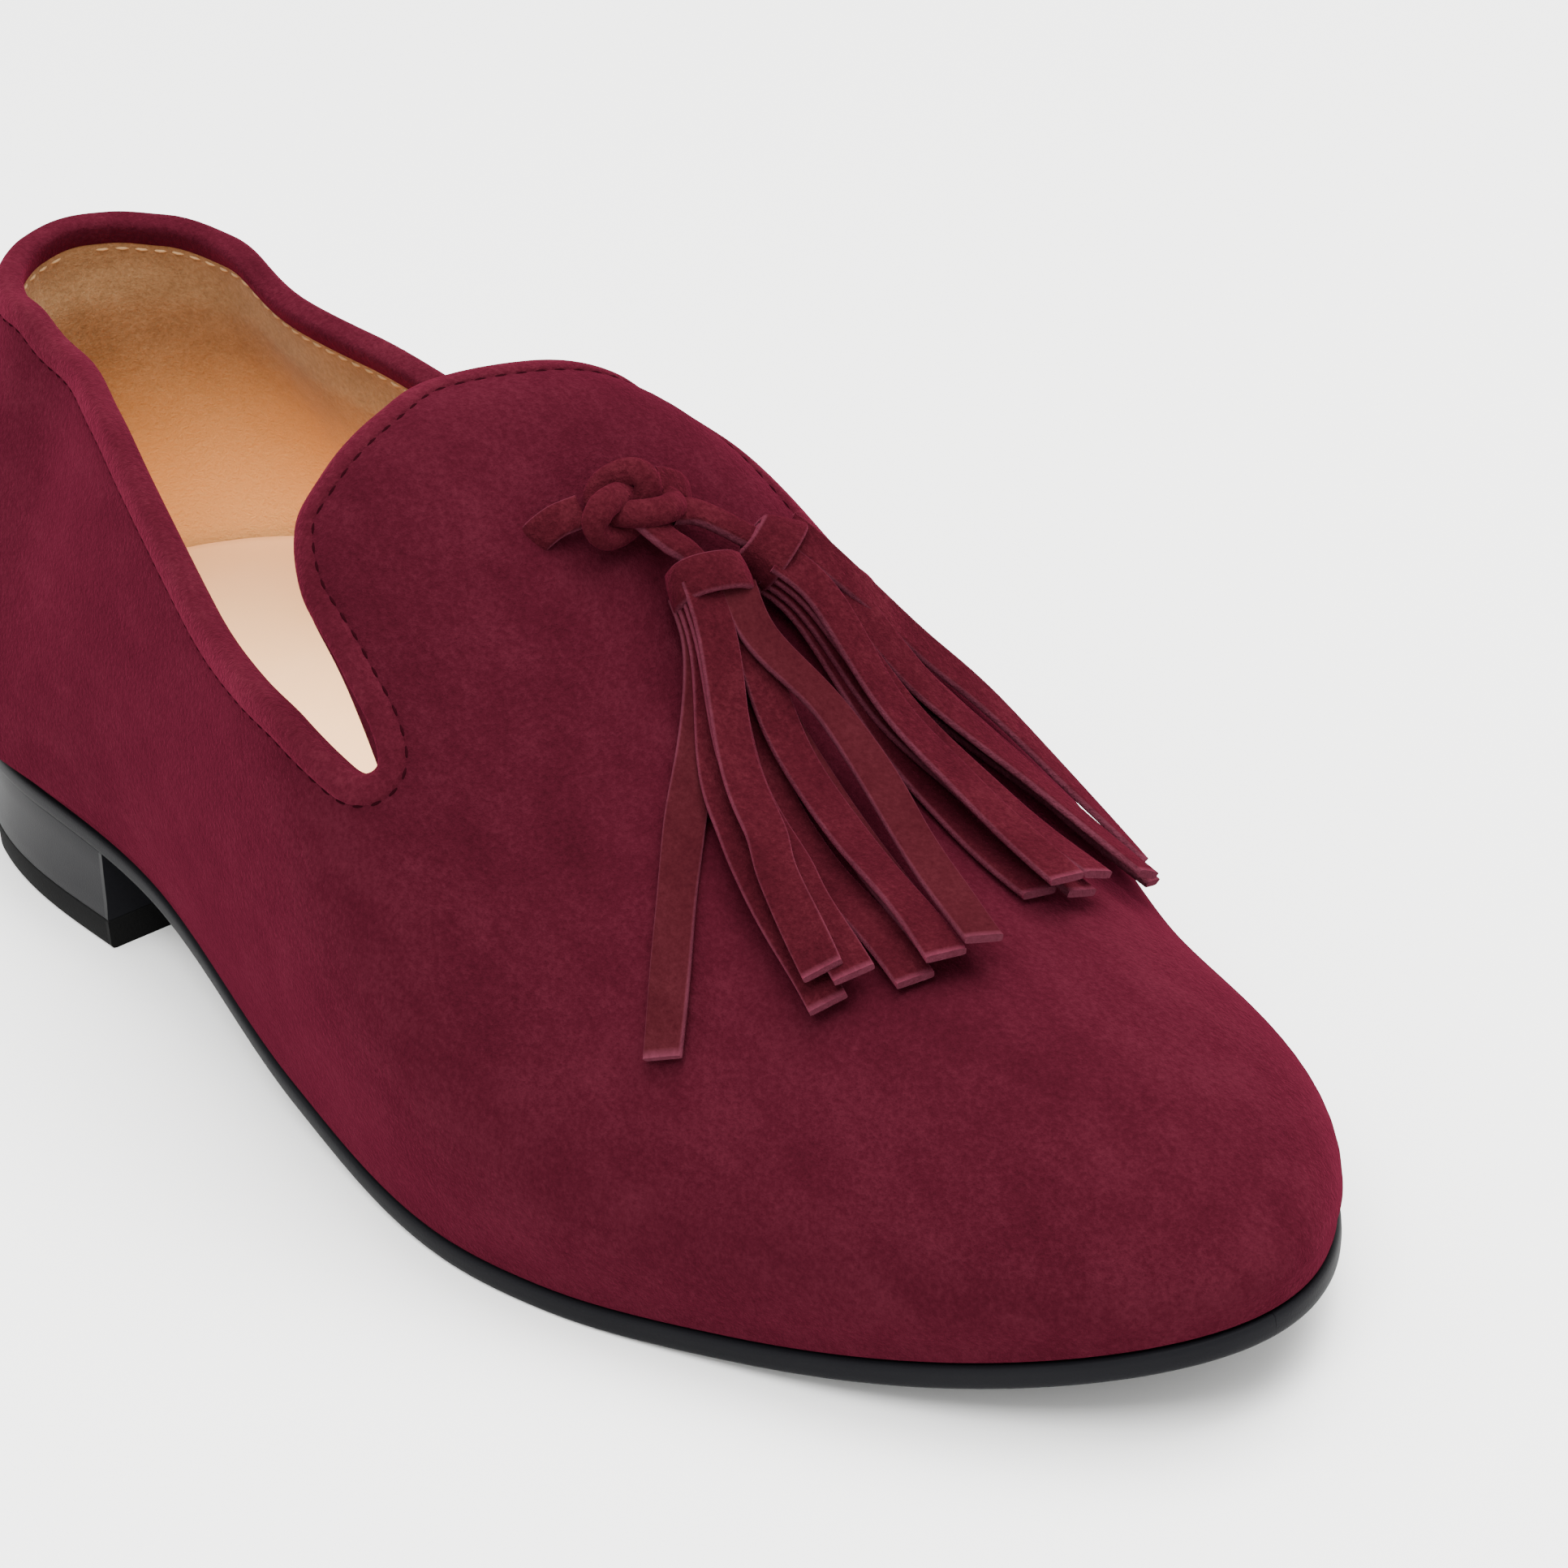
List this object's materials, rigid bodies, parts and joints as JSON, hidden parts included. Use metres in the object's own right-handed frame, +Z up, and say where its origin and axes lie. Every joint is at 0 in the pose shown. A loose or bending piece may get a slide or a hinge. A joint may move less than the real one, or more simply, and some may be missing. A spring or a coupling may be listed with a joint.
{
  "type": "tassel loafer",
  "caption": "Right slip-on loafer in burgundy suede with a rounded tongue, bound top line, knotted lace with two strip tassels, tan lining and a low black heel.",
  "frame": {"origin": "centre of the bounding box on the plane the shoe stands on", "axes": "+X towards the toe, +Y towards the wearer's left (the inner side of this right shoe), +Z up"},
  "size_m": [0.245, 0.0924, 0.0841],
  "materials": {
    "burgundy_suede": "matte",
    "lace_suede": "matte",
    "tan_suede_lining": "matte",
    "sock_leather": "satin",
    "black_sole": "satin",
    "black_heel": "satin",
    "black_rubber": "matte",
    "fibre_board": "matte",
    "stiffener_board": "matte",
    "cork_filler": "matte",
    "shank_steel": "brushed"
  },
  "bodies": {
    "shoe": {"outsole": "black_sole", "heel_block": "black_heel", "heel_top_lift": "black_rubber", "insole_board": "fibre_board", "forepart_filler": "cork_filler", "sock_liner": "sock_leather", "shank": "shank_steel", "upper": "burgundy_suede", "topline_binding": "burgundy_suede", "heel_lining": "tan_suede_lining", "vamp_lining": "tan_suede_lining", "heel_counter": "stiffener_board", "toe_puff": "stiffener_board", "lace_outer": "lace_suede", "lace_inner": "lace_suede", "lace_knot": "lace_suede"},
    "leg_a": {"lace_leg_a": "lace_suede"},
    "tassel_a": {"tassel_a_collar": "lace_suede", "tassel_a_strip_1": "lace_suede", "tassel_a_strip_2": "lace_suede", "tassel_a_strip_3": "lace_suede", "tassel_a_strip_4": "lace_suede", "tassel_a_strip_5": "lace_suede", "tassel_a_strip_6": "lace_suede", "tassel_a_strip_7": "lace_suede", "tassel_a_strip_8": "lace_suede"},
    "leg_b": {"lace_leg_b": "lace_suede"},
    "tassel_b": {"tassel_b_collar": "lace_suede", "tassel_b_strip_1": "lace_suede", "tassel_b_strip_2": "lace_suede", "tassel_b_strip_3": "lace_suede", "tassel_b_strip_4": "lace_suede", "tassel_b_strip_5": "lace_suede", "tassel_b_strip_6": "lace_suede", "tassel_b_strip_7": "lace_suede", "tassel_b_strip_8": "lace_suede"}
  },
  "joints": [
    {"name": "tassel_a_swing", "type": "hinge", "parent": "shoe", "child": "leg_a", "pos_m": [0.02541, 0.00357, 0.06884], "axis": [0.7564, 0.0637, 0.651], "range_deg": [-20, 0]},
    {"name": "tassel_a_lift", "type": "hinge", "parent": "leg_a", "child": "tassel_a", "pos_m": [0.02716, 0.00466, 0.06764], "axis": [-0.0824, -0.9768, 0.1977], "range_deg": [0, 45]},
    {"name": "tassel_b_swing", "type": "hinge", "parent": "shoe", "child": "leg_b", "pos_m": [0.02251, 0.00864, 0.0699], "axis": [0.7673, 0.1098, 0.6318], "range_deg": [0, 15]},
    {"name": "tassel_b_lift", "type": "hinge", "parent": "leg_b", "child": "tassel_b", "pos_m": [0.02596, 0.01259, 0.06722], "axis": [0.259, -0.9635, -0.0679], "range_deg": [0, 45]}
  ]
}
